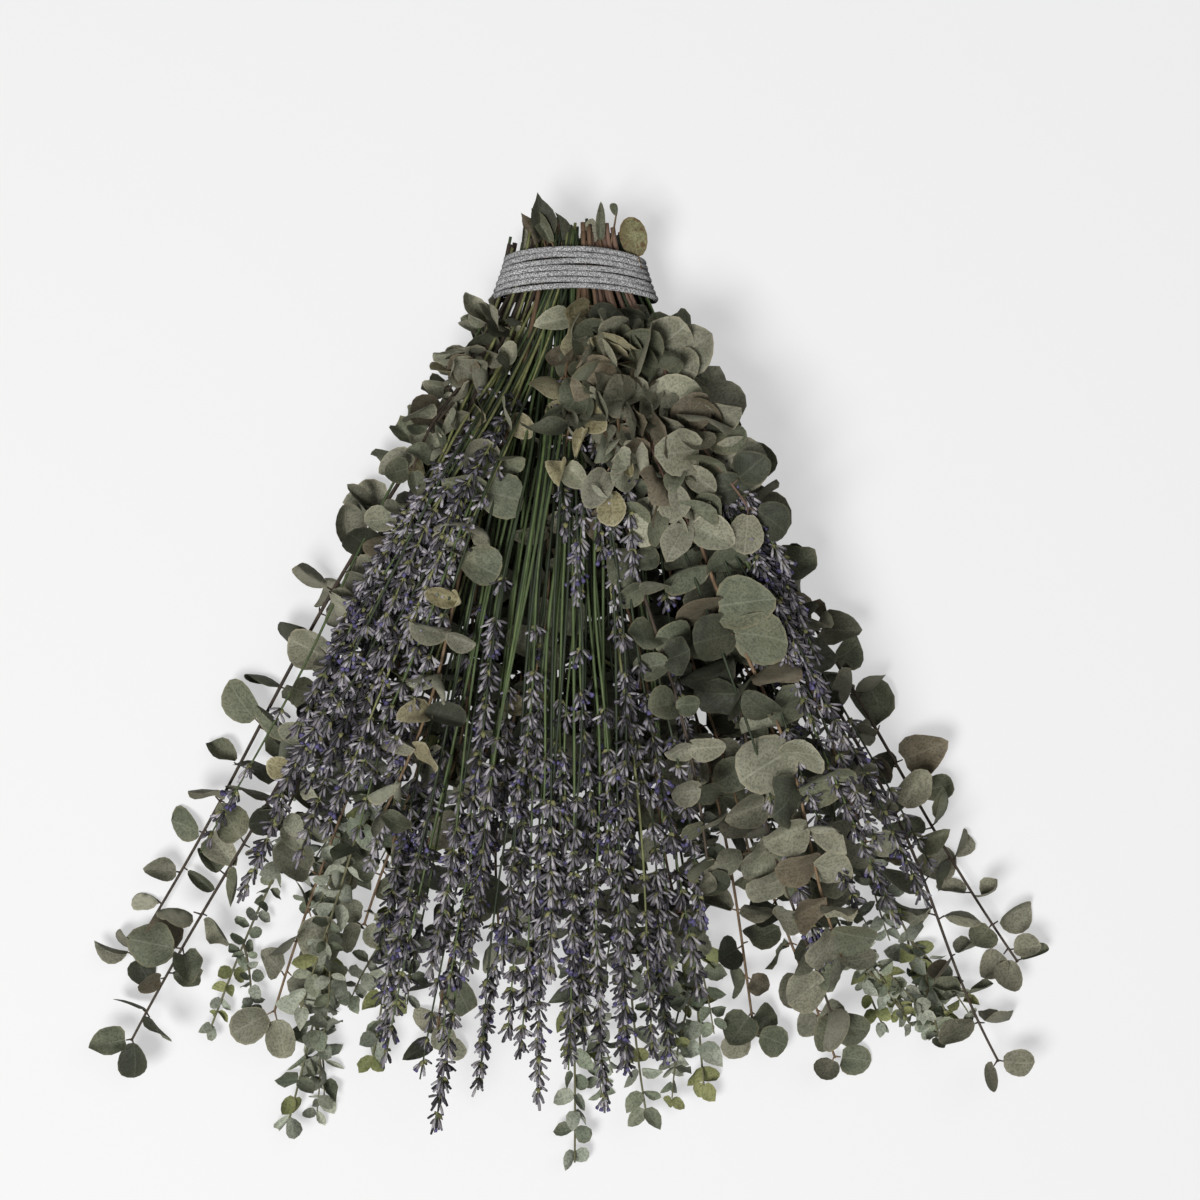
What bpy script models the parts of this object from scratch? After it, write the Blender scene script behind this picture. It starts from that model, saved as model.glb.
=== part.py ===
"""A dried bouquet of lavender and eucalyptus, tied with cord and lying on its side.

The stems lie in flat layers, one above the other. In each layer they cross the tie side by side and
fan out from it. The cut ends point to +Y and the tips to -Y. While the bunch is built the middle of
the tie is over the origin, and "reach" is the distance from the tie towards the tips. At the end
the whole bunch is moved so that the origin is the middle of its base.
"""

import math
from dataclasses import dataclass

import bmesh
import bpy
from mathutils import Matrix, Vector

# The tie: a cord wound round the bunch, over a section that is a rounded rectangle.
CORD_RADIUS = 0.00155
CORD_PITCH = 0.0034
CORD_TURNS = 7
CORD_STEPS = 24
SECTION_POWER = 3.0
TIE_HALF_HEIGHT = 0.0224
TIE_CLEARANCE = 0.0036

# The layers, from the surface up. They are closer together in the tie than in the fan.
TIE_LAYER_STEP = 0.0064
FAN_LAYER_STEP = 0.0150
TIP_LAYER_STEP = 0.0120
LAYER_OPENS_OVER = 0.150
LAYER_SINKS_BETWEEN = (0.220, 0.480)

# How a stem leaves the tie: parallel at the waist, then turning out to its own angle.
WAIST_HALF_WIDTH = 0.0320
WAIST_BEHIND_TIE = 0.030
KNEE = 0.035
TIE_EDGE_SLOPE = 0.58

# Clear space kept between neighbours, and where a bare stem gets a point.
GAP = 0.0004
BARE_STATIONS = (-0.010, 0.005, 0.020, 0.055, 0.110)

# Leaves: flat six-sided blades in opposite pairs, shrunk in steps where there is less room.
BLADE_THICKNESS = 0.0008
BLADE_SIDES = 6
LEAF_ANGLE = math.radians(58)
STEEPEST_ROLL = math.asin(0.7)
PAIR_OFFSET = 0.0015
LAST_PAIR_BEFORE_TIP = 0.006
LEAF_SCALES = (1.0, 0.9, 0.8, 0.7, 0.6, 0.5, 0.4)

# A lavender spike from its lowest whorl to its tip: how far along it, and its radius there.
SPIKE_PROFILE = (
    (0.00, 0.0012),
    (0.12, 0.0056),
    (0.30, 0.0040),
    (0.42, 0.0060),
    (0.58, 0.0046),
    (0.72, 0.0054),
    (0.86, 0.0036),
    (1.00, 0.0010),
)
SPIKE_SHARE_OF_ROOM = 0.85
LONG_BARE_STEM = 0.12


@dataclass
class Kind:
    """What one sort of stem measures. It bears either leaves, from bare_to outwards, or a spike."""

    name: str
    butt_radius: float
    tip_radius: float
    half_width: float
    bow: float
    bare_to: float = 0.0
    leaf_length: float = 0.0
    leaf_width: float = 0.0
    leaf_pairs: int = 0
    spike_length: float = 0.0


@dataclass
class Stem:
    """One stem: its kind and layer, where it crosses the waist, and where its tip lies."""

    name: str
    kind: Kind
    layer: int
    waist_x: float
    tip_x: float
    tip_reach: float
    butt_reach: float
    bow: float


SILVER = Kind(
    name="silver_dollar",
    butt_radius=0.0018,
    tip_radius=0.0009,
    half_width=0.024,
    bow=0.005,
    bare_to=0.034,
    leaf_length=0.028,
    leaf_width=0.025,
    leaf_pairs=7,
)
BABY = Kind(
    name="baby_blue",
    butt_radius=0.0014,
    tip_radius=0.0008,
    half_width=0.015,
    bow=0.005,
    bare_to=0.200,
    leaf_length=0.019,
    leaf_width=0.015,
    leaf_pairs=6,
)
LAVENDER = Kind(
    name="lavender",
    butt_radius=0.00095,
    tip_radius=0.0008,
    half_width=0.0075,
    bow=0.003,
    spike_length=0.085,
)

# Each layer's stems from left to right: kind, the tip's angle off -Y in degrees, its distance in
# metres from the tie. The lowest layer is first.
LAYERS = (
    (
        (SILVER, -33.4, 0.442),
        (BABY, -25.6, 0.466),
        (BABY, -18.7, 0.497),
        (SILVER, -9.5, 0.425),
        (BABY, 0.0, 0.498),
        (BABY, 9.7, 0.469),
        (SILVER, 18.5, 0.455),
        (BABY, 26.8, 0.469),
        (SILVER, 33.5, 0.450),
    ),
    (
        (SILVER, -29.4, 0.478),
        (SILVER, -21.5, 0.430),
        (BABY, -14.5, 0.448),
        (BABY, 5.5, 0.475),
        (SILVER, 14.0, 0.430),
        (BABY, 22.7, 0.457),
        (SILVER, 29.0, 0.492),
    ),
    (
        (LAVENDER, -32.0, 0.383),
        (LAVENDER, -24.0, 0.300),
        (LAVENDER, -15.0, 0.375),
        (LAVENDER, -5.0, 0.340),
        (LAVENDER, 7.0, 0.440),
        (LAVENDER, 19.0, 0.370),
        (LAVENDER, 31.0, 0.390),
    ),
    (
        (SILVER, -28.0, 0.330),
        (BABY, -20.0, 0.430),
        (SILVER, -5.0, 0.230),
        (SILVER, 10.0, 0.350),
        (SILVER, 19.0, 0.430),
        (SILVER, 28.0, 0.345),
    ),
    (
        (LAVENDER, -27.5, 0.385),
        (LAVENDER, -25.5, 0.280),
        (LAVENDER, -18.5, 0.350),
        (LAVENDER, -13.5, 0.430),
        (LAVENDER, -8.5, 0.482),
        (LAVENDER, -3.0, 0.405),
        (LAVENDER, 2.5, 0.460),
        (LAVENDER, 8.5, 0.400),
        (LAVENDER, 25.5, 0.300),
        (LAVENDER, 29.0, 0.395),
    ),
    (
        (LAVENDER, -31.0, 0.250),
        (LAVENDER, -24.5, 0.355),
        (SILVER, -18.0, 0.300),
        (LAVENDER, -11.0, 0.380),
        (LAVENDER, -6.0, 0.450),
        (LAVENDER, -1.0, 0.350),
        (LAVENDER, 4.0, 0.430),
        (SILVER, 13.0, 0.330),
        (SILVER, 22.0, 0.395),
        (LAVENDER, 29.5, 0.300),
    ),
)
LOWEST_STEM = CORD_RADIUS + TIE_HALF_HEIGHT - TIE_LAYER_STEP * (len(LAYERS) - 1) / 2
BUTT_REACHES = (-0.018, -0.027, -0.017, -0.022, -0.030, -0.016, -0.024)
MATERIALS = {
    "silver_dollar": ((0.190, 0.185, 0.135), 0.75),
    "baby_blue": ((0.260, 0.290, 0.225), 0.75),
    "lavender": ((0.130, 0.125, 0.200), 0.85),
    "cord": ((0.300, 0.300, 0.300), 0.90),
}


def clear_scene():
    for thing in list(bpy.data.objects):
        bpy.data.objects.remove(thing, do_unlink=True)


def new_collection(name):
    collection = bpy.data.collections.new(name)
    bpy.context.scene.collection.children.link(collection)
    return collection


def new_material(name):
    colour, roughness = MATERIALS[name]
    material = bpy.data.materials.new(name)
    material.use_nodes = True
    shader = material.node_tree.nodes["Principled BSDF"]
    shader.inputs["Base Color"].default_value = (*colour, 1.0)
    shader.inputs["Roughness"].default_value = roughness
    shader.inputs["Metallic"].default_value = 0.0
    return material


def smoothstep(t):
    t = min(max(t, 0.0), 1.0)
    return t * t * (3.0 - 2.0 * t)


def spread(reach):
    """How far a stem whose final slope is 1 has moved sideways at this reach."""
    run = max(0.0, reach + WAIST_BEHIND_TIE)
    return run - KNEE * (1.0 - math.exp(-run / KNEE))


def layer_step(reach):
    """The height of one layer: least in the tie, most in the fan, and less where the tips sink."""
    start, end = LAYER_SINKS_BETWEEN
    opened = (FAN_LAYER_STEP - TIE_LAYER_STEP) * smoothstep(reach / LAYER_OPENS_OVER)
    sunk = (FAN_LAYER_STEP - TIP_LAYER_STEP) * smoothstep((reach - start) / (end - start))
    return TIE_LAYER_STEP + opened - sunk


def waist_half_width(layer):
    """Half the width that the stems take up at the waist: less in the top and bottom layers."""
    height = abs(layer - (len(LAYERS) - 1) / 2) * TIE_LAYER_STEP
    return WAIST_HALF_WIDTH * (1.0 - (height / TIE_HALF_HEIGHT) ** SECTION_POWER)


def lay_out_stems():
    """Every stem of every layer, spaced evenly across the waist and numbered by kind."""
    counts = {}
    layers = []
    for layer, rows in enumerate(LAYERS):
        half = waist_half_width(layer)
        stems = []
        for place, (kind, angle, distance) in enumerate(rows):
            counts[kind.name] = counts.get(kind.name, 0) + 1
            across = 2.0 * place / (len(rows) - 1) - 1.0
            stems.append(
                Stem(
                    name=f"{kind.name}_{counts[kind.name]:02d}",
                    kind=kind,
                    layer=layer,
                    waist_x=half * across,
                    tip_x=distance * math.sin(math.radians(angle)),
                    tip_reach=distance * math.cos(math.radians(angle)),
                    butt_reach=BUTT_REACHES[(place + 3 * layer) % len(BUTT_REACHES)],
                    bow=kind.bow * (1 if (place + layer) % 2 else -1),
                )
            )
        layers.append(stems)
    return layers


def stem_point(stem, reach):
    """The middle of the stem at this reach."""
    slope = (stem.tip_x - stem.waist_x) / spread(stem.tip_reach)
    bend = stem.bow * math.sin(math.pi * smoothstep(reach / stem.tip_reach))
    x = stem.waist_x + slope * spread(reach) + bend
    return Vector((x, -reach, LOWEST_STEM + stem.layer * layer_step(reach)))


def stem_direction(stem, reach):
    return (stem_point(stem, reach + 0.001) - stem_point(stem, reach - 0.001)).normalized()


def stem_radius(stem, reach):
    done = (reach - stem.butt_reach) / (stem.tip_reach - stem.butt_reach)
    return stem.kind.butt_radius + (stem.kind.tip_radius - stem.kind.butt_radius) * done


def boundary(stem, neighbour, reach):
    """The x of the line between two neighbours, nearer to the narrower one."""
    if neighbour is None:
        return None
    share = stem.kind.half_width / (stem.kind.half_width + neighbour.kind.half_width)
    mine = stem_point(stem, reach).x
    return mine + (stem_point(neighbour, reach).x - mine) * share


def is_inside(point, stem, left, right):
    """Whether a corner of a leaf stays on its own stem's side of both boundaries."""
    low = boundary(stem, left, -point.y)
    high = boundary(stem, right, -point.y)
    return (low is None or point.x > low + GAP) and (high is None or point.x < high - GAP)


def room_below(stem, reach):
    """How far a leaf may reach under its stem: to the surface, or halfway to the layer below."""
    if stem.layer == 0:
        return stem_point(stem, reach).z
    return layer_step(reach) / 2 - GAP


def tube(name, points, radii, rounding=1):
    """A stem or cord through these points, with closed ends. Rounding 0 has four sides, 1 has six."""
    curve = bpy.data.curves.new(name, "CURVE")
    curve.dimensions = "3D"
    curve.bevel_depth = 1.0
    curve.bevel_resolution = rounding
    curve.use_fill_caps = True
    spline = curve.splines.new("POLY")
    spline.points.add(len(points) - 1)
    for point, place, radius in zip(spline.points, points, radii):
        point.co = (*place, 1.0)
        point.radius = radius
    return bpy.data.objects.new(name, curve)


def turned_to_mesh(curve_object, collection):
    """The same shape as a welded mesh object, which a Boolean can join to."""
    collection.objects.link(curve_object)
    graph = bpy.context.evaluated_depsgraph_get()
    mesh = bpy.data.meshes.new_from_object(curve_object.evaluated_get(graph))
    name = curve_object.name
    bpy.data.objects.remove(curve_object, do_unlink=True)
    build = bmesh.new()
    build.from_mesh(mesh)
    bmesh.ops.remove_doubles(build, verts=build.verts, dist=0.00001)
    bmesh.ops.recalc_face_normals(build, faces=build.faces)
    build.to_mesh(mesh)
    build.free()
    thing = bpy.data.objects.new(name, mesh)
    collection.objects.link(thing)
    return thing


def leaf_frame(stem, reach, side, roll):
    """The place of a leaf's plate: across it, along it from its base, and its normal."""
    forward = stem_direction(stem, reach)
    sideways = forward.cross(Vector((0.0, 0.0, 1.0))).normalized() * -side
    up = Vector((0.0, 0.0, 1.0))
    outward = sideways * math.cos(roll) + up * math.sin(roll)
    along = (forward * math.cos(LEAF_ANGLE) + outward * math.sin(LEAF_ANGLE)).normalized()
    normal = along.cross(forward).normalized()
    across = normal.cross(along).normalized()
    return across, along, normal


def leaf_matrix(stem, reach, side, up_or_down, length, width):
    """A leaf's plate, rolled about its stem until its edge meets the room above or below."""
    outreach = length * math.sin(LEAF_ANGLE)
    room = max(0.0, room_below(stem, reach) - BLADE_THICKNESS)
    roll = min(STEEPEST_ROLL, math.asin(min(1.0, room / outreach)))
    across, along, normal = leaf_frame(stem, reach, side, roll * up_or_down)
    place = Matrix((across, along, normal)).transposed().to_4x4()
    place.translation = stem_point(stem, reach) + along * (length / 2)
    return place @ Matrix.Diagonal((width / 2, length / 2, 1.0, 1.0))


def leaf_corners(place):
    turns = (2.0 * math.pi * i / BLADE_SIDES for i in range(BLADE_SIDES))
    return [place @ Vector((math.sin(turn), math.cos(turn), 0.0)) for turn in turns]


def add_leaf(build, stem, reach, side, up_or_down, neighbours):
    """One blade as large as its place allows, or none where there is too little room."""
    for scale in LEAF_SCALES:
        length = stem.kind.leaf_length * scale
        width = stem.kind.leaf_width * scale
        place = leaf_matrix(stem, reach, side, up_or_down, length, width)
        if all(is_inside(corner, stem, *neighbours) for corner in leaf_corners(place)):
            bmesh.ops.create_cone(
                build,
                cap_ends=True,
                segments=BLADE_SIDES,
                radius1=1.0,
                radius2=1.0,
                depth=BLADE_THICKNESS,
                matrix=place,
            )
            return


def pair_reaches(stem):
    """Where the stem bears its pairs of leaves."""
    first = stem.kind.bare_to
    last = stem.tip_reach - LAST_PAIR_BEFORE_TIP
    gaps = stem.kind.leaf_pairs - 1
    return [first + (last - first) * pair / gaps for pair in range(gaps + 1)]


def leaf_mesh(stem, neighbours):
    """All the stem's leaves: opposite pairs, each pair rolled the other way from the last."""
    build = bmesh.new()
    for pair, reach in enumerate(pair_reaches(stem)):
        lean = 1 if pair % 2 else -1
        add_leaf(build, stem, reach - PAIR_OFFSET, -1, lean, neighbours)
        add_leaf(build, stem, reach + PAIR_OFFSET, 1, -lean, neighbours)
    mesh = bpy.data.meshes.new(f"leaves_of_{stem.name}")
    build.to_mesh(mesh)
    build.free()
    return mesh


def make_leafy_stem(stem, neighbours, parts, cutters):
    """A eucalyptus stem joined with its leaves into one solid."""
    pairs = pair_reaches(stem)
    bare = [reach for reach in BARE_STATIONS if reach < pairs[0] - 0.010]
    reaches = [stem.butt_reach, *bare, *pairs, stem.tip_reach]
    points = [stem_point(stem, reach) for reach in reaches]
    radii = [stem_radius(stem, reach) for reach in reaches]
    branch = turned_to_mesh(tube(stem.name, points, radii, rounding=0), parts)
    leaves = bpy.data.objects.new(f"leaves_of_{stem.name}", leaf_mesh(stem, neighbours))
    cutters.objects.link(leaves)
    leaves.hide_render = True
    leaves.display_type = "WIRE"
    union = branch.modifiers.new("leaves", "BOOLEAN")
    union.operation = "UNION"
    union.solver = "EXACT"
    union.object = leaves
    return branch


def spike_radius(stem, reach, neighbours, wanted):
    """The wanted radius, or less where a neighbour or the next layer is close."""
    here = stem_point(stem, reach)
    room = [room_below(stem, reach), wanted]
    for neighbour in neighbours:
        edge = boundary(stem, neighbour, reach)
        if edge is not None:
            room.append(abs(edge - here.x) * SPIKE_SHARE_OF_ROOM - GAP)
    return min(room)


def make_lavender(stem, neighbours, parts):
    """A thin stem that swells into whorls of flowers near its tip."""
    spike = stem.kind.spike_length
    start = stem.tip_reach - spike
    reaches = [stem.butt_reach, *BARE_STATIONS]
    if start > BARE_STATIONS[-1] + LONG_BARE_STEM:
        reaches.append((start + BARE_STATIONS[-1]) / 2)
    radii = [stem_radius(stem, reach) for reach in reaches]
    for part_way, radius in SPIKE_PROFILE:
        reach = start + spike * part_way
        reaches.append(reach)
        radii.append(spike_radius(stem, reach, neighbours, radius))
    points = [stem_point(stem, reach) for reach in reaches]
    lavender = tube(stem.name, points, radii)
    parts.objects.link(lavender)
    return lavender


def tie_section(angle, reach):
    """A point of the cord's middle line round the bunch: x, and z over the tie's middle."""
    half_width = WAIST_HALF_WIDTH + TIE_EDGE_SLOPE * spread(reach) + TIE_CLEARANCE
    wide = abs(math.cos(angle)) / half_width
    high = abs(math.sin(angle)) / TIE_HALF_HEIGHT
    distance = (wide**SECTION_POWER + high**SECTION_POWER) ** (-1.0 / SECTION_POWER)
    return distance * math.cos(angle), distance * math.sin(angle)


def make_cord(parts):
    """The cord, wound in a close helix that starts and ends under the bunch."""
    middle = LOWEST_STEM + TIE_LAYER_STEP * (len(LAYERS) - 1) / 2
    points = []
    for step in range(CORD_TURNS * CORD_STEPS + 1):
        turn = step / CORD_STEPS
        reach = CORD_PITCH * (turn - CORD_TURNS / 2)
        x, rise = tie_section(2.0 * math.pi * turn - math.pi / 2, reach)
        points.append((x, -reach, middle + rise))
    cord = tube("tie_cord", points, [CORD_RADIUS] * len(points))
    parts.objects.link(cord)
    return cord


def shift_to_base(things):
    """The move that puts the origin at the middle of the base of the box round these things."""
    graph = bpy.context.evaluated_depsgraph_get()
    low = Vector((math.inf, math.inf, math.inf))
    high = -low
    for thing in things:
        shape = thing.evaluated_get(graph)
        mesh = shape.to_mesh()
        for vertex in mesh.vertices:
            low = Vector(map(min, low, vertex.co))
            high = Vector(map(max, high, vertex.co))
        shape.to_mesh_clear()
    return Vector((-(low.x + high.x) / 2, -(low.y + high.y) / 2, -low.z))


def main():
    clear_scene()
    parts = new_collection("dried_bouquet")
    cutters = new_collection("cutters")
    materials = {name: new_material(name) for name in MATERIALS}
    made = []
    for stems in lay_out_stems():
        for stem, left, right in zip(stems, [None, *stems[:-1]], [*stems[1:], None]):
            if stem.kind is LAVENDER:
                thing = make_lavender(stem, (left, right), parts)
            else:
                thing = make_leafy_stem(stem, (left, right), parts, cutters)
            thing.data.materials.append(materials[stem.kind.name])
            made.append(thing)
    cord = make_cord(parts)
    cord.data.materials.append(materials["cord"])
    made.append(cord)
    shift = shift_to_base(made)
    for thing in (*made, *cutters.objects):
        thing.location = shift


main()
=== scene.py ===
"""The looks of a dried bouquet of lavender and eucalyptus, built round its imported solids.

Every stem of the CAD model gives the line that a detailed stem follows. Leaves, flower whorls and
the twisted cord are closed meshes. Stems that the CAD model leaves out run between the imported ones.
The bunch lies on its side, with its tips towards -Y, and the camera looks down on it.
"""

import math
from collections import namedtuple

import bpy
import numpy as np
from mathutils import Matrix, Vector


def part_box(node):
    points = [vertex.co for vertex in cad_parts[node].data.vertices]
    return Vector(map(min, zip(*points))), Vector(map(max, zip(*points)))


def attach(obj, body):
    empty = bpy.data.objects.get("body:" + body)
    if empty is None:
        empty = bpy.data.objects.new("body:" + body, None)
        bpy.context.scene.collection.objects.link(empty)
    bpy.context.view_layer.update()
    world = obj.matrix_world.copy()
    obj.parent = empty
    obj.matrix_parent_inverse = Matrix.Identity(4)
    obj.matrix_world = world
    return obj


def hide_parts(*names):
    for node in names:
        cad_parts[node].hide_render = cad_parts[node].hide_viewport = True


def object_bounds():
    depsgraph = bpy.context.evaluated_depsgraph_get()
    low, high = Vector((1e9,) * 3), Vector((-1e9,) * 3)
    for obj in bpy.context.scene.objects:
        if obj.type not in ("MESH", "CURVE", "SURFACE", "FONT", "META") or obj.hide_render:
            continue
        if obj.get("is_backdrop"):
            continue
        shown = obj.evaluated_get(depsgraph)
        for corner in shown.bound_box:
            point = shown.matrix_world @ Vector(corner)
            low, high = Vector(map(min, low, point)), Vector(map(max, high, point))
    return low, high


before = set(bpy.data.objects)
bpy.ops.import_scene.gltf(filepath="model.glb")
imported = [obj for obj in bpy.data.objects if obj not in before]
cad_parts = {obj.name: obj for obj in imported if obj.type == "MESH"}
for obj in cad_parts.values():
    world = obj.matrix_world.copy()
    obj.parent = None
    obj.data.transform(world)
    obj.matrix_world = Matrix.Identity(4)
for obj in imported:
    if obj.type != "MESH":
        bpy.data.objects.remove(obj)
CAD_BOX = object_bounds()
TIE_LOW, TIE_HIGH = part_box("tie_cord")
TIE_Y = (TIE_LOW.y + TIE_HIGH.y) / 2

# ---------------------------------------------------------------- sizes, in metres
LINE_STEP = 0.002
LINE_SMOOTHING = 0.010
LEAF_OVERHANG = 0.004
SPIKE_OVERHANG = 0.0005
SURFACE_CLEARANCE = 0.0003
SURFACE_SOFTNESS = 0.004
HIGHEST_POINT = CAD_BOX[1][2] + 0.008
CUT_BACK = (0.000, 0.004)
CUT_END_REACH = (0.014, 0.026)

# How wide a level cut through a packed stem may be for its middle to lie on the stem.
LEAFY_STEM_WIDTH = 0.0045
FLOWER_STEM_WIDTH = 0.0135

# The same layers and tie as the CAD model has.
CORD_RADIUS = 0.00155
CORD_PITCH = 0.0034
CORD_TURNS = 7
TIE_HALF_HEIGHT = 0.0224
WAIST_HALF_WIDTH = 0.0320
TIE_EDGE_SLOPE = 0.58
TIE_CLEARANCE = 0.0036
SECTION_POWER = 3.0
TIE_LAYER_STEP = 0.0064
FAN_LAYER_STEP = 0.0150
TIP_LAYER_STEP = 0.0120
LAYERS = 6
KNEE = 0.035
WAIST_BEHIND_TIE = 0.030
LOWEST_STEM = CORD_RADIUS + TIE_HALF_HEIGHT - TIE_LAYER_STEP * (LAYERS - 1) / 2

# The cord's three plies, and how far its turns drop at the bunch's sides.
PLY_PITCH = 0.0050
PLY_STEPS = 7
PLY_RADIUS = 0.00104
PLY_OFFSET = 0.00064
TIE_SIDE_DROP = 0.0045
TIE_TILT = 0.0015

UP = np.array([0.0, 0.0, 1.0])
# Steps of the golden ratio, which spread things evenly without a pattern.
GOLDEN_SHARE = 0.618
GOLDEN_ANGLE = 2.399


# ---------------------------------------------------------------- growing meshes
class Shape:
    """Points, faces and per-point values of one mesh while it grows."""

    VALUES = ("shade", "along", "across", "rim", "under")

    def __init__(self):
        self.points, self.quads, self.triangles = [], [], []
        self.quad_slots, self.triangle_slots = [], []
        self.values = {name: [] for name in self.VALUES}
        self.count = 0

    def add(self, points, quads, triangles, slot=0, **values):
        """Adds faces between new points. The slot is one number, or one for each face."""
        size = len(points)
        slots = np.broadcast_to(slot, (len(quads) + len(triangles),))
        self.points.append(points)
        self.quads.append(quads + self.count)
        self.triangles.append(triangles + self.count)
        self.quad_slots.append(slots[: len(quads)])
        self.triangle_slots.append(slots[len(quads) :])
        for name in self.VALUES:
            value = np.asarray(values.get(name, 0.0), np.float32)
            self.values[name].append(np.broadcast_to(value, (size,)))
        self.count += size

    def join(self, other):
        """Takes in all that another shape holds."""
        self.points += other.points
        self.quads += [quads + self.count for quads in other.quads]
        self.triangles += [triangles + self.count for triangles in other.triangles]
        self.quad_slots += other.quad_slots
        self.triangle_slots += other.triangle_slots
        for name in self.VALUES:
            self.values[name] += other.values[name]
        self.count += other.count

    def to_object(self, name, materials):
        points = np.concatenate(self.points).astype(np.float32)
        quads, triangles = np.concatenate(self.quads), np.concatenate(self.triangles)
        mesh = bpy.data.meshes.new(name)
        mesh.vertices.add(len(points))
        mesh.vertices.foreach_set("co", points.ravel())
        loops = np.concatenate([quads.ravel(), triangles.ravel()]).astype(np.int32)
        mesh.loops.add(len(loops))
        mesh.loops.foreach_set("vertex_index", loops)
        quad_starts = np.arange(len(quads)) * 4
        starts = np.concatenate([quad_starts, len(quads) * 4 + np.arange(len(triangles)) * 3])
        mesh.polygons.add(len(starts))
        mesh.polygons.foreach_set("loop_start", starts.astype(np.int32))
        slots = np.concatenate([*self.quad_slots, *self.triangle_slots]).astype(np.int32)
        mesh.polygons.foreach_set("material_index", slots)
        for value_name in self.VALUES:
            attribute = mesh.attributes.new(value_name, "FLOAT", "POINT")
            attribute.data.foreach_set("value", np.concatenate(self.values[value_name]))
        mesh.update(calc_edges=True)
        mesh.validate()
        mesh.shade_smooth()
        self.sharpen_rims(mesh)
        for material in materials:
            mesh.materials.append(material)
        thing = bpy.data.objects.new(name, mesh)
        bpy.context.scene.collection.objects.link(thing)
        return thing

    def sharpen_rims(self, mesh):
        """Keeps a blade's two faces from shading into each other round its rim."""
        ends = np.empty(len(mesh.edges) * 2, np.int32)
        mesh.edges.foreach_get("vertices", ends)
        at_rim = np.concatenate(self.values["rim"])[ends].reshape(-1, 2) > 0.999
        sharp = mesh.attributes.new("sharp_edge", "BOOLEAN", "EDGE")
        sharp.data.foreach_set("value", at_rim.all(axis=1))


def unit(vector):
    return vector / max(1e-12, float(np.linalg.norm(vector)))


def units(vectors):
    return vectors / np.maximum(1e-12, np.linalg.norm(vectors, axis=-1, keepdims=True))


def inside_box(points):
    """Bends what would go through the surface, or too far above the top, so that it lies there."""
    soft = SURFACE_SOFTNESS
    z = points[..., 2]
    low = z < soft
    z[low] = soft * np.exp((z[low] - soft) / soft)
    top = HIGHEST_POINT - soft
    high = z > top
    z[high] = top + soft * (1 - np.exp((top - z[high]) / soft))
    points[..., 2] = z + SURFACE_CLEARANCE
    return points


def ring_faces(rings, sides):
    """The quads between neighbouring rings of a tube."""
    ring = np.arange(rings - 1)[:, None] * sides
    side = np.arange(sides)[None, :]
    after = (side + 1) % sides
    corners = [ring + side, ring + after, ring + sides + after, ring + sides + side]
    return np.stack(np.broadcast_arrays(*corners), -1).reshape(-1, 4)


def add_tube(shape, line, radii, sides, slot, shade=0.5, squashed=True):
    """A closed tube round a line, with a flat cap at each end."""
    line = np.asarray(line, float)
    count = len(line)
    radii = np.broadcast_to(np.asarray(radii, float), (count,))
    tangents = units(np.gradient(line, axis=0))
    first = np.cross(tangents, UP)
    first[np.linalg.norm(first, axis=1) < 1e-6] = (1.0, 0.0, 0.0)
    first = units(first)
    second = np.cross(tangents, first)
    turns = np.arange(sides) * 2 * math.pi / sides
    ring = np.cos(turns)[None, :, None] * first[:, None] + np.sin(turns)[None, :, None] * second[:, None]
    points = (line[:, None] + ring * radii[:, None, None]).reshape(-1, 3)
    points = np.concatenate([points, line[:1], line[-1:]])
    side = np.arange(sides)
    after = (side + 1) % sides
    last = (count - 1) * sides
    start = np.stack([np.full(sides, count * sides), after, side], -1)
    end = np.stack([np.full(sides, count * sides + 1), last + side, last + after], -1)
    share = np.linspace(0, 1, count)
    share = np.concatenate([np.repeat(share, sides), share[:1], share[-1:]])
    across = np.concatenate([np.tile(turns / (2 * math.pi), count), [0.5, 0.5]])
    points = inside_box(points) if squashed else points
    caps = np.concatenate([start, end])
    shape.add(points, ring_faces(count, sides), caps, slot, shade=shade, along=share, across=across)


# ---------------------------------------------------------------- lines that stems follow
class Line:
    """A smooth line that can be asked for its point and direction at any length along it."""

    def __init__(self, points):
        self.points = np.asarray(points, float)
        steps = np.linalg.norm(np.diff(self.points, axis=0), axis=1)
        self.lengths = np.concatenate([[0.0], np.cumsum(steps)])
        self.length = float(self.lengths[-1])

    def at(self, length):
        return np.stack([np.interp(length, self.lengths, self.points[:, i]) for i in range(3)], -1)

    def direction(self, length):
        return units(self.at(length + 0.002) - self.at(length - 0.002))

    def length_at_reach(self, reach):
        """How far along the line is, where it is this far from the tie towards the tips."""
        return float(np.interp(reach, TIE_Y - self.points[:, 1], self.lengths))

    def piece(self, start, end, step=0.005):
        return self.at(np.linspace(start, end, max(3, int((end - start) / step) + 1)))


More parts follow.
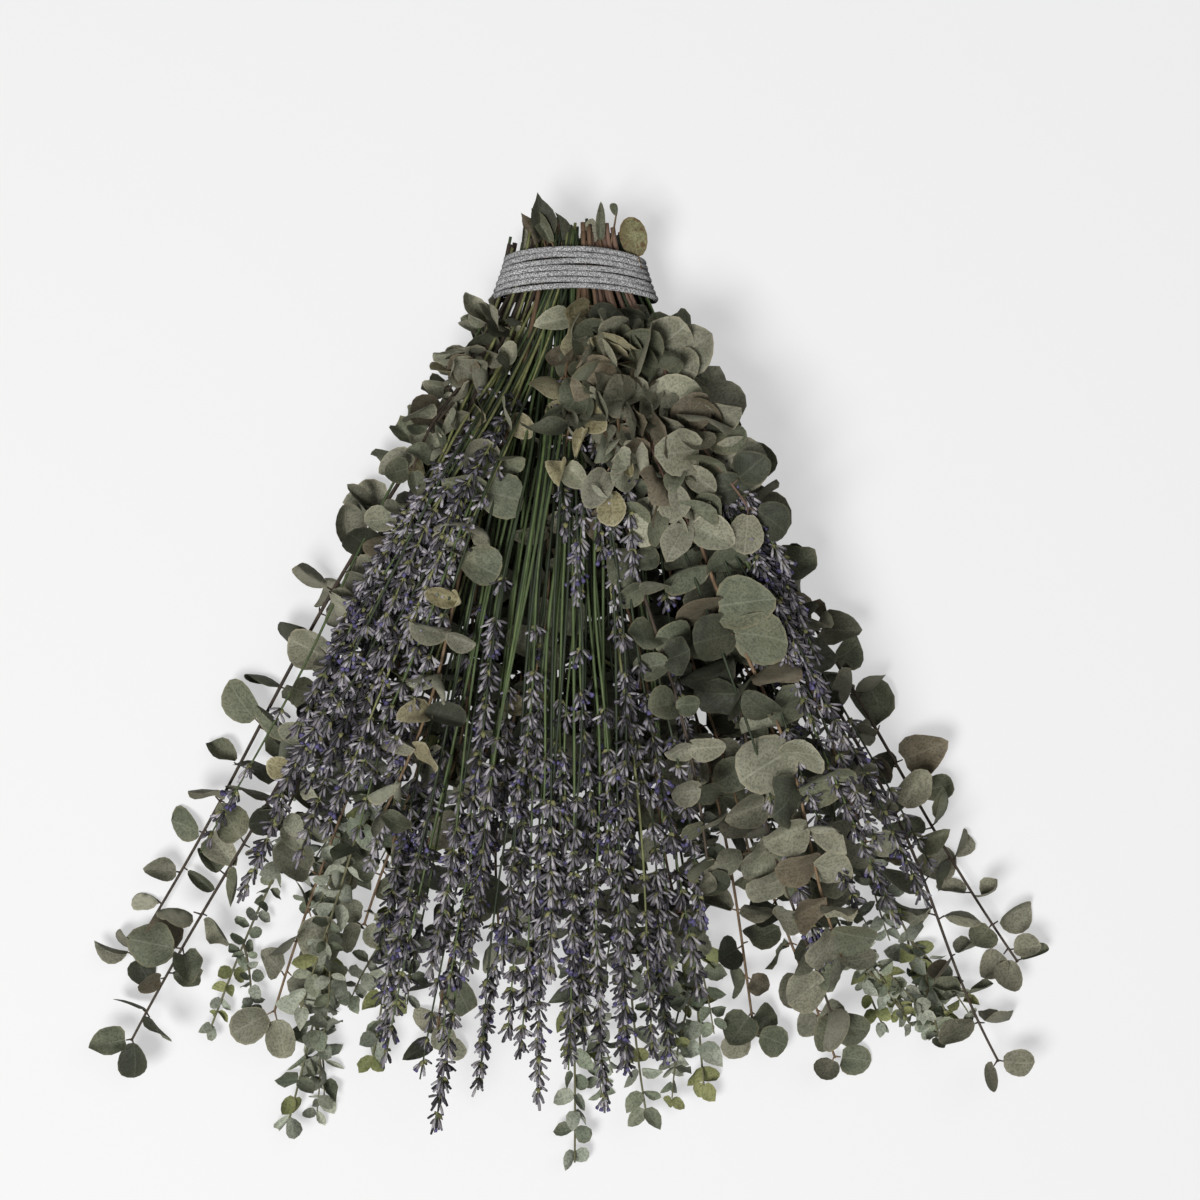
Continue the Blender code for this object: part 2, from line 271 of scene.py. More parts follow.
def bare_middles(node, widest):
    """Where level cuts through a packed stem meet nothing wider than this: their middles."""
    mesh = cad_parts[node].data
    points = np.empty(len(mesh.vertices) * 3)
    mesh.vertices.foreach_get("co", points)
    points = points.reshape(-1, 3)
    edges = np.empty(len(mesh.edges) * 2, int)
    mesh.edges.foreach_get("vertices", edges)
    near, far = points[edges.reshape(-1, 2)].transpose(1, 0, 2)
    lowest, highest = points[:, 1].min(), points[:, 1].max()
    found = []
    for y in np.arange(highest - 0.0006, lowest + 0.0004, -LINE_STEP):
        crossed = (near[:, 1] - y) * (far[:, 1] - y) < 0
        a, b = near[crossed], far[crossed]
        if len(a) < 3:
            continue
        cut = a + (b - a) * ((y - a[:, 1]) / (b[:, 1] - a[:, 1]))[:, None]
        if np.ptp(cut[:, 0]) < widest:
            found.append((cut.min(0) + cut.max(0)) / 2)
    return np.array(found), lowest


def smoothed(values, width):
    """A moving average that keeps the two ends where they are."""
    reach = int(3 * width)
    before = 2 * values[0] - values[reach:0:-1]
    after = 2 * values[-1] - values[-2 : -reach - 2 : -1]
    kernel = np.exp(-0.5 * (np.arange(-reach, reach + 1) / width) ** 2)
    return np.convolve(np.concatenate([before, values, after]), kernel / kernel.sum(), "valid")


def packed_line(node, widest, overhang):
    """The line of a packed stem from its cut end to its tip."""
    middles, lowest = bare_middles(node, widest)
    tip_y = lowest + overhang
    middles = middles[middles[:, 1] > tip_y]
    heading = (middles[-1] - middles[-10]) / (middles[-1, 1] - middles[-10, 1])
    tip = middles[-1] + heading * (tip_y - middles[-1, 1])
    middles = np.concatenate([middles, [tip]])
    ys = np.arange(middles[0, 1], tip_y, -LINE_STEP)
    line = np.stack([np.interp(-ys, -middles[:, 1], middles[:, i]) for i in range(3)], -1)
    for axis in (0, 2):
        line[:, axis] = smoothed(line[:, axis], LINE_SMOOTHING / LINE_STEP)
    return Line(line)


def smoothstep(t):
    t = np.clip(t, 0.0, 1.0)
    return t * t * (3.0 - 2.0 * t)


def spread(reach):
    """How far a stem whose final slope is 1 has moved sideways at this reach."""
    run = np.maximum(0.0, reach + WAIST_BEHIND_TIE)
    return run - KNEE * (1.0 - np.exp(-run / KNEE))


def fan_line(angle, distance, layers, waist, butt):
    """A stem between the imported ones: its tip's angle off -Y in degrees and distance from the tie,
    its height in layers at the tie and further out, and where it crosses the waist, from -1 to 1."""
    tip_x = distance * math.sin(math.radians(angle))
    tip_reach = distance * math.cos(math.radians(angle))
    reach = np.arange(butt, tip_reach + LINE_STEP / 2, LINE_STEP)
    opened = (FAN_LAYER_STEP - TIE_LAYER_STEP) * smoothstep(reach / 0.150)
    sunk = (FAN_LAYER_STEP - TIP_LAYER_STEP) * smoothstep((reach - 0.220) / 0.260)
    height = abs(layers[0] - (LAYERS - 1) / 2) * TIE_LAYER_STEP / TIE_HALF_HEIGHT
    waist_x = waist * WAIST_HALF_WIDTH * (1 - height**SECTION_POWER)
    x = waist_x + (tip_x - waist_x) * spread(reach) / spread(tip_reach)
    layer = layers[0] + (layers[1] - layers[0]) * smoothstep(reach / min(0.12, tip_reach))
    z = LOWEST_STEM + layer * (TIE_LAYER_STEP + opened - sunk)
    return Line(np.stack([x, TIE_Y - reach, z], -1))


Group = namedtuple("Group", "angles distances tie_layers layers waists count")


def group_lines(group, rng):
    """The lines of a group's stems, spread evenly over its angles and distances. The short ones
    lean out further."""
    for index in range(group.count):
        share = (index + rng.uniform(0.2, 0.8)) / group.count
        far = (index * GOLDEN_SHARE + rng.uniform(-0.06, 0.06)) % 1.0
        angle = (group.angles[0] + (group.angles[1] - group.angles[0]) * share) * (1.24 - 0.24 * far)
        distance = group.distances[0] + (group.distances[1] - group.distances[0]) * far
        waist = group.waists[0] + (group.waists[1] - group.waists[0]) * share + rng.normal(0, 0.10)
        waist = float(np.clip(waist, -0.98, 0.98))
        layers = rng.uniform(*group.tie_layers), rng.uniform(*group.layers)
        yield fan_line(angle, distance, layers, waist, -rng.uniform(*CUT_END_REACH))


def wavy(line, rng, size):
    """The line with a slow sideways wander, none in the tie."""
    free = smoothstep((TIE_Y - 0.02 - line.points[:, 1]) / 0.10)
    share = line.lengths / line.length
    points = line.points.copy()
    for axis, much in ((0, 1.0), (2, 0.7)):
        turns, phase = rng.uniform(0.8, 2.2), rng.uniform(0, 2 * math.pi)
        points[:, axis] += much * size * free * np.sin(2 * math.pi * turns * share + phase)
    return Line(points)


# ---------------------------------------------------------------- leaves
def leaf_grid(rings, sides):
    """Where a blade's points lie, as a share of the way from its middle to its rim and a turn round
    it, for the upper and then the lower face, and the faces between them."""
    turns = np.arange(sides) * 2 * math.pi / sides
    shares = (np.arange(1, rings + 1) / rings) ** 0.8
    upper = [(0.0, 0.0)] + [(s, t) for s in shares for t in turns]
    lower = [(s, t) for s in shares[:-1] for t in turns] + [(0.0, 0.0)]
    share, turn = np.array(upper + lower).T
    side = np.arange(sides)
    after = (side + 1) % sides
    below, rim = 1 + rings * sides, 1 + (rings - 1) * sides
    inner = below + (rings - 2) * sides
    last = below + (rings - 1) * sides
    seam = np.stack([inner + side, inner + after, rim + after, rim + side], -1)
    quads = [ring_faces(rings, sides)[:, ::-1] + 1, ring_faces(rings - 1, sides) + below, seam]
    top = np.stack([np.zeros(sides, int), 1 + side, 1 + after], -1)
    bottom = np.stack([np.full(sides, last), below + after, below + side], -1)
    is_lower = (np.arange(len(share)) >= below).astype(float)
    return share, turn, np.concatenate(quads), np.concatenate([top, bottom]), is_lower


LARGE_LEAF = leaf_grid(3, 16)
DEEP_LEAF = leaf_grid(2, 14)
SMALL_LEAF = leaf_grid(2, 10)


def leaf_look(rng, fold, curl, point, notch, skew, thickness=0.0006):
    """One leaf's own shape, drawn round what is usual for its sort. Fold and curl are a usual
    value and how much it varies, in radians."""
    return dict(
        fold=np.clip(rng.normal(*fold), -1.3, 1.3),
        curl=rng.normal(*curl),
        cup=rng.uniform(-0.10, 0.10),
        wave=rng.uniform(0.01, 0.11),
        waves=rng.integers(2, 5),
        phase=rng.uniform(0, 2 * math.pi),
        uneven=rng.uniform(0.0, 0.06),
        point=point * rng.uniform(0.2, 1.8),
        notch=notch * rng.uniform(0.3, 1.6),
        skew=skew + rng.normal(0, 0.13),
        lopsided=rng.uniform(-0.09, 0.09),
        thickness=thickness,
        shade=rng.uniform(0, 1),
    )


def add_leaf(shape, grid, base, along, facing, length, width, slot, look):
    """One dry blade from its base point: an outline, folded along its midrib, curled along its
    length and wavy at its edge."""
    share, turn, quads, triangles, is_lower = grid
    sine, cosine = np.sin(turn), np.cos(turn)
    around = np.minimum(turn, 2 * math.pi - turn)
    ends = look["point"] * np.exp(-(((around - math.pi) / 0.32) ** 2))
    ends = ends + look["notch"] * np.exp(-((around / 0.30) ** 2))
    out = share * (1 + look["uneven"] * np.sin(3 * turn + 2 * look["phase"]))
    x = width / 2 * sine * (1 + look["skew"] * cosine + look["lopsided"] * sine) * out
    y = length / 2 + length * (ends - cosine / 2) * out
    rise = np.sqrt(x**2 + (0.08 * width) ** 2) - 0.08 * width
    z = rise * math.sin(look["fold"])
    x = x * math.cos(look["fold"])
    z = z + look["cup"] * width * share**2
    z = z + look["wave"] * width * share**3 * np.sin(look["waves"] * turn + look["phase"])
    bend = look["curl"] / length
    if abs(look["curl"]) > 1e-3:
        z, y = z + (1 - np.cos(bend * y)) / bend, np.sin(bend * y) / bend
    thick = look["thickness"] / 2 * (1 - share**4)
    z = z + np.where(is_lower > 0, -thick, thick)
    facing = unit(facing - np.dot(facing, along) * along)
    sideways = np.cross(along, facing)
    points = base + x[:, None] * sideways + y[:, None] * along + z[:, None] * facing
    shape.add(
        inside_box(points),
        quads,
        triangles,
        slot,
        shade=look["shade"],
        along=0.5 - cosine * share / 2,
        across=sine * share,
        rim=share,
        under=is_lower,
    )


def turned(first, second, angle):
    """The first direction, turned towards the second by an angle in radians."""
    return first * math.cos(angle) + second * math.sin(angle)


def directions_at(line, length, roll):
    """The stem's direction, and a direction straight out from it, turned up by roll."""
    forward = line.direction(length)
    side = unit(np.cross(forward, UP))
    return forward, turned(side, np.cross(side, forward), roll)


def pick(rng, weights):
    """A slot number, drawn by weight."""
    weights = np.asarray(weights, float)
    return int(rng.choice(len(weights), p=weights / weights.sum()))


# ---------------------------------------------------------------- silver-dollar eucalyptus
SILVER_SIZES = ([0.05, 0.2, 0.5, 0.85, 1.0], [0.72, 0.90, 1.06, 0.96, 0.80])
SILVER_CLOSING = ([0.0, 0.85, 1.0], [1.0, 0.95, 0.60])
# How far from the tie leaves are as small and as close to their stem as they get, and are free.
NEAR_TIE = (0.015, 0.115)
SIZE_NEAR_TIE = 0.80
LEAN_NEAR_TIE = 0.78
# Inside this distance from the tie a branch's leaves take its inner tones. For deep and front branches
# these are darker, as painted shade near the tie; for others they are the leaves' own paler or usual tones.
INNER_REACH = 0.250


def silver_leaf(shape, line, place, roll, tilt, size, rng, settings):
    """One round leaf with its short stalk."""
    forward, out = directions_at(line, place, roll)
    reach = float(TIE_Y - line.at(place)[1])
    free = float(np.interp(reach, NEAR_TIE, [0, 1]))
    size = size * (SIZE_NEAR_TIE + (1 - SIZE_NEAR_TIE) * free)
    lean = math.radians(rng.normal(*settings["lean"])) * np.interp(place / line.length, *SILVER_CLOSING)
    lean = lean * (LEAN_NEAR_TIE + (1 - LEAN_NEAR_TIE) * free)
    along = unit(turned(forward, out, lean) + UP * settings["lift"] + rng.normal(0, 0.08, 3))
    root = line.at(place)
    clasp = settings["clasp"]
    foot = root + along * size * (rng.uniform(0.08, 0.20) - clasp) + UP * clasp * 0.012
    stalk_line = [root, (root + foot) / 2, foot + along * size * 0.05]
    add_tube(shape, stalk_line, [0.00065, 0.0005, 0.0004], 5, 0, shade=rng.uniform(0.3, 0.9))
    facing = turned(UP, forward, tilt) + rng.normal(0, 0.18, 3)
    look = leaf_look(rng, settings["fold"], settings["curl"], 0.02, 0.05, 0.02)
    if rng.random() < settings["folded"]:
        look["fold"] = rng.uniform(0.6, 1.1)
        look["curl"] = rng.uniform(-0.2, 1.2)
    width = size * rng.uniform(0.80, 1.04)
    # Near the tie, deep and front branches take darker tones here as painted shade.
    slot = 1 + pick(rng, settings["inner_tones" if reach < INNER_REACH else "tones"])
    add_leaf(shape, settings["grid"], foot, along, facing, size, width, slot, look)


def silver_branch(line, rng, settings):
    """A silver-dollar eucalyptus branch: a stem with opposite pairs of round leaves. Each pair is
    turned from the last one, and its two leaves face much the same way."""
    shape = Shape()
    line = wavy(line, rng, settings["wave"])
    body = line.piece(rng.uniform(*CUT_BACK), line.length)
    radii = np.interp(np.linspace(0, 1, len(body)), [0, 1], [settings["stem"], 0.0007])
    add_tube(shape, body, radii, 8, 0, shade=rng.uniform(0.2, 0.8))
    place = line.length_at_reach(settings["first"] + rng.uniform(0.0, 0.012))
    slope = settings["stagger"]
    while place < line.length - 0.005:
        size = settings["leaf"] * np.interp(place / line.length, *SILVER_SIZES)
        tilt = rng.normal(settings["tilt"], settings["tumble"])
        for side in (0.0, math.pi):
            if rng.random() < settings["missing"]:
                continue
            where = place + rng.uniform(-0.002, 0.002)
            roll = slope + side + rng.normal(0, 0.22)
            leaf_tilt = tilt + rng.normal(0, 0.25)
            leaf_size = size * rng.uniform(0.74, 1.18)
            silver_leaf(shape, line, where, roll, leaf_tilt, leaf_size, rng, settings)
        slope = -slope
        place += settings["gap"] * rng.uniform(0.80, 1.20)
    for roll in (0.4, math.pi + 0.3):
        size = settings["leaf"] * rng.uniform(0.68, 0.84)
        silver_leaf(shape, line, line.length - 0.001, roll, rng.normal(0, 0.4), size, rng, settings)
    return shape


# ---------------------------------------------------------------- baby-blue eucalyptus
BABY_SIZES = ([0, 0.25, 0.8, 1], [0.80, 1.0, 0.82, 0.70])


def baby_leaf(shape, line, place, roll, size, lean, rng, slot):
    """One small leaf that sits on its stem with hardly a stalk."""
    forward, out = directions_at(line, place, roll)
    along = unit(turned(forward, out, lean) + rng.normal(0, 0.10, 3))
    foot = line.at(place) + along * 0.0006
    facing = turned(UP, forward, rng.normal(-0.2, 0.6)) + rng.normal(0, 0.25, 3)
    look = leaf_look(rng, (0.35, 0.40), (0.30, 0.50), 0.09, 0.03, 0.08, 0.0005)
    add_leaf(shape, SMALL_LEAF, foot, along, facing, size, size * rng.uniform(0.70, 0.98), slot, look)


def baby_leaves(shape, line, start, leaf, gap, rng, settings):
    """Opposite pairs of small leaves from one length along a line to its end."""
    place = start
    slope = 0.7
    while place < line.length:
        share = (place - start) / (line.length - start)
        size = leaf * np.interp(share, *BABY_SIZES)
        lean = math.radians(np.interp(share, [0, 0.8, 1], [74, 64, 38]))
        at_tip = rng.random() < (share - 0.7) * 3
        slot = 1 + pick(rng, settings["tip_tones"] if at_tip else settings["tones"])
        for side in (0.0, math.pi):
            roll = slope + side + rng.normal(0, 0.22)
            leaf_size = size * rng.uniform(0.80, 1.15)
            baby_leaf(shape, line, place, roll, leaf_size, lean + rng.normal(0, 0.20), rng, slot)
        slope = -slope
        place += gap * rng.uniform(0.8, 1.2) * (0.4 + 0.6 * size / leaf)


def side_shoot(line, place, roll, length, rng):
    """The line of a shoot that leaves a stem and turns towards its tip."""
    forward, out = directions_at(line, place, roll)
    share = np.linspace(0, 1, 12)[:, None]
    first = turned(forward, out, math.radians(rng.uniform(22, 40)))
    return Line(line.at(place) + length * (first * share + (forward - first) * 0.35 * share**2))


def baby_sprig(line, rng, settings):
    """A baby-blue eucalyptus sprig: a thin stem, dense small leaves and some side shoots."""
    shape = Shape()
    line = wavy(line, rng, 0.0035)
    body = line.piece(rng.uniform(*CUT_BACK), line.length)
    radii = np.interp(np.linspace(0, 1, len(body)), [0, 1], [0.0013, 0.0006])
    add_tube(shape, body, radii, 7, 0, shade=rng.uniform(0.3, 0.8))
    start = line.length_at_reach(settings["first"])
    baby_leaves(shape, line, start, settings["leaf"], settings["leaf"] * 0.74, rng, settings)
    for _ in range(settings["shoots"]):
        place = start + (line.length - start) * rng.uniform(0.40, 0.90)
        roll = rng.choice([0.0, math.pi]) + rng.normal(0, 0.5)
        length = min(rng.uniform(0.045, 0.070), 0.010 + line.length - place)
        shoot = side_shoot(line, place, roll, length, rng)
        add_tube(shape, shoot.points, np.linspace(0.0008, 0.0004, 12), 5, 0)
        leaf = settings["leaf"] * rng.uniform(0.66, 0.84)
        baby_leaves(shape, shoot, 0.006, leaf, leaf * 0.74, rng, settings)
    return shape


# ---------------------------------------------------------------- lavender
def bud_grid(rings, sides, star=0.0):
    """A small closed pod along +Z, from (height, radius) rings: its points, faces and ribs."""
    turns = np.arange(sides) * 2 * math.pi / sides
    heights, sizes = np.array(rings).T
    ripple = 1 + star * np.cos(np.arange(sides) * math.pi)
    x = np.append((sizes[:, None] * np.cos(turns) * ripple).ravel(), [0, 0])
    y = np.append((sizes[:, None] * np.sin(turns) * ripple).ravel(), [0, 0])
    z = np.append(np.repeat(heights, sides), [heights[0], heights[-1] - 0.10])
    side = np.arange(sides)
    after = (side + 1) % sides
    count = len(rings) * sides
    start = np.stack([np.full(sides, count), after, side], -1)
    end = np.stack([np.full(sides, count + 1), count - sides + side, count - sides + after], -1)
    # Marks every other side for a pale stripe, partly the ribs' colour and partly a painted highlight.
    ribs = np.append(np.tile(side % 2, len(rings)), [0, 0]).astype(float)
    return np.stack([x, y, z], -1), ring_faces(len(rings), sides), np.concatenate([start, end]), ribs


CALYX = bud_grid([(0.0, 0.36), (0.55, 1.0), (1.0, 0.78)], 5, star=0.14)
COROLLA = bud_grid([(0.0, 0.35), (0.55, 1.0), (0.85, 0.85)], 6, star=0.22)
BRACT = bud_grid([(0.0, 0.25), (0.40, 1.0), (1.0, 0.12)], 5)
CALYX_LENGTH, CALYX_RADIUS = (0.0043, 0.0068), (0.00064, 0.00088)
COROLLA_LENGTH, COROLLA_RADIUS = (0.0024, 0.0042), (0.0009, 0.0014)
BRACT_LENGTH, BRACT_RADIUS = (0.0032, 0.0058), (0.0010, 0.0018)
WHORL_FLOWERS = 18
# How far apart whorls are at a spike's foot, and how much closer at its tip.
WHORL_GAP = 0.0128
WHORL_CLOSING = 0.0044
SPIKE_LENGTH = (0.085, 0.112)
EXTRA_SPIKE_LENGTH = (0.075, 0.108)
LONGEST_SPIKE_SHARE = 0.52

STEM, LIGHT, MIDDLE, DARK, VIOLET, BRACTS, YELLOW_STEM, DARK_STEM = range(8)
# How often a stem is plain green, yellowish or dark. The last row is mostly dark, as painted shade for
# stems deep in the bunch.
GREEN_STEMS = (0.58, 0.04, 0.38)
YELLOW_STEMS = (0.20, 0.65, 0.15)
PAINTED_SHADE_STEMS = (0.34, 0.00, 0.66)


def add_buds(shape, grid, buds, rng, length, radius, slots, flat=1.0):
    """Many pods of one sort at once. Each bud is where it starts and the way it points."""
    template, quads, triangles, ribs = grid
    count, size = len(buds), len(template)
    origins, axes = (np.array(values) for values in zip(*buds))
    lengths = rng.uniform(*length, count)
    radii = rng.uniform(*radius, count)
    curve = lengths * rng.normal(0, 0.10, count)
    first = units(np.cross(axes, UP + 1e-3))
    second = np.cross(axes, first)
    x, y, z = template.T[:, None, :, None]
    across = (y * radii[:, None, None] * flat) + z**2 * curve[:, None, None]
    points = origins[:, None] + axes[:, None] * z * lengths[:, None, None]
    points = points + first[:, None] * x * radii[:, None, None] + second[:, None] * across
    offsets = (np.arange(count) * size)[:, None, None]
    face_slots = [np.repeat(slots, len(quads)), np.repeat(slots, len(triangles))]
    shape.add(
        inside_box(points.reshape(-1, 3)),
        (quads[None] + offsets).reshape(-1, 4),
        (triangles[None] + offsets).reshape(-1, 3),
        np.concatenate(face_slots),
        shade=np.repeat(rng.random(count), size),
        along=np.tile(template[:, 2], count),
        across=np.tile(ribs, count),
    )


def whorl_places(line, length, rng, spaced):
    """Where a spike's whorls sit along its stem: the first one apart, then closer to the tip."""
    start = line.length - length
    wide = 1.45 if spaced else 1.0
    places = [start]
    place = start + wide * rng.uniform(0.0140, 0.0240)
    while place < line.length - 0.003:
        places.append(place)
        usual = wide * (WHORL_GAP - WHORL_CLOSING * (place - start) / length)
        place += usual * rng.uniform(0.85, 1.15)
    return places


def lavender_stem(shape, line, rng, spike, spaced, stems):
    """One lavender stem with its flower spike. Few whorls still show their violet corollas."""
    line = wavy(line, rng, 0.0022)
    large = rng.uniform(0.90, 1.20)
    body = line.piece(rng.uniform(*CUT_BACK), line.length - 0.002, 0.009)
    radii = np.interp(np.linspace(0, 1, len(body)), [0, 0.6, 1], [0.00092, 0.00082, 0.00048])
    stem_slot = (STEM, YELLOW_STEM, DARK_STEM)[pick(rng, stems)]
    add_tube(shape, body, radii, 5, stem_slot, shade=rng.uniform(0, 1))
    buds, slots, corollas, bracts = [], [], [], []
    places = whorl_places(line, spike, rng, spaced)
    tint = rng.normal(0, 0.16)
    for place in places:
        share = (place - places[0]) / spike
        fullness = np.interp(share, [0, 0.2, 0.7, 1.0], [0.72, 1.0, 0.92, 0.50])
        number = int(round(WHORL_FLOWERS * fullness * rng.uniform(0.8, 1.15) * (0.62 if spaced else 1.0)))
        forward = line.direction(place)
        side = unit(np.cross(forward, UP))
        rise = np.cross(side, forward)
        turn = rng.uniform(0, 2 * math.pi)
        violet = 0.40 if rng.random() < 0.12 else 0.01
        for flower in range(number):
            inner = flower % 3 == 2
            out = turned(side, rise, turn + flower * GOLDEN_ANGLE + rng.normal(0, 0.15))
            lean = math.radians(rng.normal(22, 12) if inner else rng.normal(50, 17))
            lean *= np.interp(share, [0, 0.8, 1], [1, 0.9, 0.6])
            axis = unit(turned(forward, out, lean))
            lift = rng.uniform(0.0016, 0.0052) if inner else rng.uniform(-0.0012, 0.0028)
            origin = line.at(place) + forward * lift + out * 0.0009
            buds.append((origin, axis))
            tone = rng.random() + tint
            slots.append(LIGHT if tone > 0.72 else MIDDLE if tone > 0.32 else DARK)
            if rng.random() < violet:
                corollas.append((origin + axis * 0.0040 * large, axis))
        for half in (0.0, math.pi):
            out = turned(side, rise, turn + half)
            axis = unit(turned(forward, out, math.radians(rng.uniform(25, 60))))
            bracts.append((line.at(place) - forward * 0.0006, axis))
    lengths = [length * large for length in CALYX_LENGTH]
    add_buds(shape, CALYX, buds, rng, lengths, CALYX_RADIUS, np.array(slots))
    if corollas:
        violets = np.full(len(corollas), VIOLET)
        add_buds(shape, COROLLA, corollas, rng, COROLLA_LENGTH, COROLLA_RADIUS, violets)
    greens = np.full(len(bracts), BRACTS)
    add_buds(shape, BRACT, bracts, rng, BRACT_LENGTH, BRACT_RADIUS, greens, 0.35)


# ---------------------------------------------------------------- the cord
def cord_line():
    """The cord's middle line, wound seven times round the bunch, in even short steps."""
    turns = np.linspace(0, CORD_TURNS, CORD_TURNS * 400 + 1)
    angle = 2 * math.pi * turns - math.pi / 2
    reach = CORD_PITCH * (turns - CORD_TURNS / 2)
    uneven = 0.00022 * np.sin(angle + turns * 1.7) + 0.00015 * np.sin(3 * angle + turns * 2.9)
    half_width = WAIST_HALF_WIDTH + TIE_EDGE_SLOPE * spread(reach) + TIE_CLEARANCE
    power = SECTION_POWER
    wide, high = np.abs(np.cos(angle)) / half_width, np.abs(np.sin(angle)) / TIE_HALF_HEIGHT
    away = (wide**power + high**power) ** (-1 / power)
    x, z = away * np.cos(angle), away * np.sin(angle)
    share = x / half_width
    drop = TIE_SIDE_DROP * share**2 + TIE_TILT * share + uneven
    line = Line(np.stack([x, TIE_Y - reach - drop, z + CORD_RADIUS + TIE_HALF_HEIGHT], -1))
    return line.piece(0, line.length, PLY_PITCH / PLY_STEPS), line.length


def make_cord():
    """Three plies twisted together."""
    shape = Shape()
    line, length = cord_line()
    tangents = units(np.gradient(line, axis=0))
    out = line - np.array([0.0, 0.0, CORD_RADIUS + TIE_HALF_HEIGHT])
    out[:, 1] = 0.0
    out = units(out - np.sum(out * tangents, 1)[:, None] * tangents)
    other = np.cross(tangents, out)
    turn = np.arange(len(line)) / PLY_STEPS * 2 * math.pi
    for ply in range(3):
        phase = turn + ply * 2 * math.pi / 3
        swell = 1 + 0.05 * np.sin(turn * 0.37 + ply * 2.0)
        offset = np.cos(phase)[:, None] * out + np.sin(phase)[:, None] * other
        radii = PLY_RADIUS * swell
        add_tube(shape, line + offset * PLY_OFFSET, radii, 6, 0, shade=ply / 2, squashed=False)
    return shape, length


# ---------------------------------------------------------------- materials
def linear(colour):
    """A colour given as 0 to 255 in sRGB, as the shaders need it."""
    shares = (value / 255 for value in colour)
    return (*(s / 12.92 if s < 0.04045 else ((s + 0.055) / 1.055) ** 2.4 for s in shares), 1.0)


class Maker:
    """Builds one material's nodes. Every method gives the socket that holds its result."""

    def __init__(self, name, roughness, specular=0.3):
        self.material = bpy.data.materials.new(name)
        self.material.use_nodes = True
        self.tree = self.material.node_tree
        self.shader = self.tree.nodes["Principled BSDF"]
        self.shader.inputs["Roughness"].default_value = roughness
        self.shader.inputs["Specular IOR Level"].default_value = specular

    def node(self, kind, inputs=None, output=0, **settings):
        node = self.tree.nodes.new("ShaderNode" + kind)
        for key, value in settings.items():
            setattr(node, key, value)
        for key, value in (inputs or {}).items():
            if isinstance(value, bpy.types.NodeSocket):
                self.tree.links.new(value, node.inputs[key])
            else:
                node.inputs[key].default_value = value
        return node.outputs[output]

    def value(self, name):
        return self.node("Attribute", output="Fac", attribute_name=name)

    def noise(self, scale, detail=2.0, stretch=None):
        where = self.node("TexCoord", output="Object")
        if stretch:
            where = self.node("Mapping", {"Vector": where, "Scale": stretch})
        return self.node("TexNoise", {"Vector": where, "Scale": scale, "Detail": detail}, "Fac")

    def maths(self, operation, *values):
        return self.node("Math", dict(enumerate(values)), operation=operation)

    def band(self, value, low, high, start=0.0, end=1.0):
        """Rises from start to end while the value goes from low to high."""
        inputs = {0: value, 1: low, 2: high, 3: start, 4: end}
        return self.node("MapRange", inputs, interpolation_type="SMOOTHSTEP")

    def mix(self, share, first, second, blend="MIX"):
        first, second = (linear(c) if isinstance(c, tuple) else c for c in (first, second))
        inputs = {0: share, 6: first, 7: second}
        return self.node("Mix", inputs, output=2, data_type="RGBA", blend_type=blend)

    def toned(self, colour, base, much):
        """The colour, made lighter or darker by the leaf's or stem's own shade."""
        tone = self.maths("MULTIPLY_ADD", self.value("shade"), much, base)
        grey = self.node("CombineColor", {0: tone, 1: tone, 2: tone})
        return self.mix(1.0, colour, grey, "MULTIPLY")

    def bump(self, height, strength, distance):
        inputs = {"Height": height, "Strength": strength, "Distance": distance}
        self.tree.links.new(self.node("Bump", inputs, "Normal"), self.shader.inputs["Normal"])

    def finish(self, colour, roughness):
        self.tree.links.new(colour, self.shader.inputs["Base Color"])
        self.tree.links.new(roughness, self.shader.inputs["Roughness"])
        return self.material


def leaf_material(name, face, dark, edge, under, spotted=0.0, rimmed=0.75):
    """Dry leaf: mottled, with faint veins, a paler midrib, a worn rim and a paler underside."""
    make = Maker(name, 0.72)
    along, across, rim = make.value("along"), make.value("across"), make.value("rim")
    wide = make.maths("ABSOLUTE", across)
    broad = make.noise(70, 4)
    colour = make.mix(make.band(broad, 0.38, 0.66), face, dark)
    colour = make.mix(make.band(make.noise(240, 3), 0.46, 0.68, 0.0, 0.45), colour, dark)
    colour = make.mix(make.band(make.noise(24, 1), 0.42, 0.66, 0.0, 0.40), colour, edge)
    speckle = tuple(0.62 * value for value in dark)
    colour = make.mix(make.band(make.noise(800, 1), 0.46, 0.62, 0.0, 0.48), colour, speckle)
    slant = make.maths("MULTIPLY_ADD", wide, -0.55, along)
    ribs = make.maths("SINE", make.maths("MULTIPLY", slant, 62.0))
    veins = make.band(ribs, 0.80, 1.0, 0.0, 0.24)
    midrib = make.band(wide, 0.015, 0.055, 0.40, 0.0)
    lines = make.maths("MAXIMUM", veins, midrib)
    colour = make.mix(lines, colour, under)
    ragged = make.band(make.noise(160, 2), 0.30, 0.60, 0.0, rimmed)
    colour = make.mix(make.maths("MULTIPLY", make.band(rim, 0.86, 1.0), ragged), colour, edge)
    colour = make.mix(make.maths("MULTIPLY", make.value("under"), 0.40), colour, under)
    if spotted:
        colour = make.mix(make.band(make.noise(330, 2), 0.56, 0.66, 0.0, spotted), colour, (84, 62, 40))
    grain = make.noise(420, 3)
    height = make.maths("MULTIPLY_ADD", lines, 0.6, make.maths("MULTIPLY_ADD", broad, 5.0, grain))
    make.bump(height, 0.45, 0.0005)
    return make.finish(make.toned(colour, 0.79, 0.46), make.band(grain, 0.3, 0.7, 0.62, 0.82))


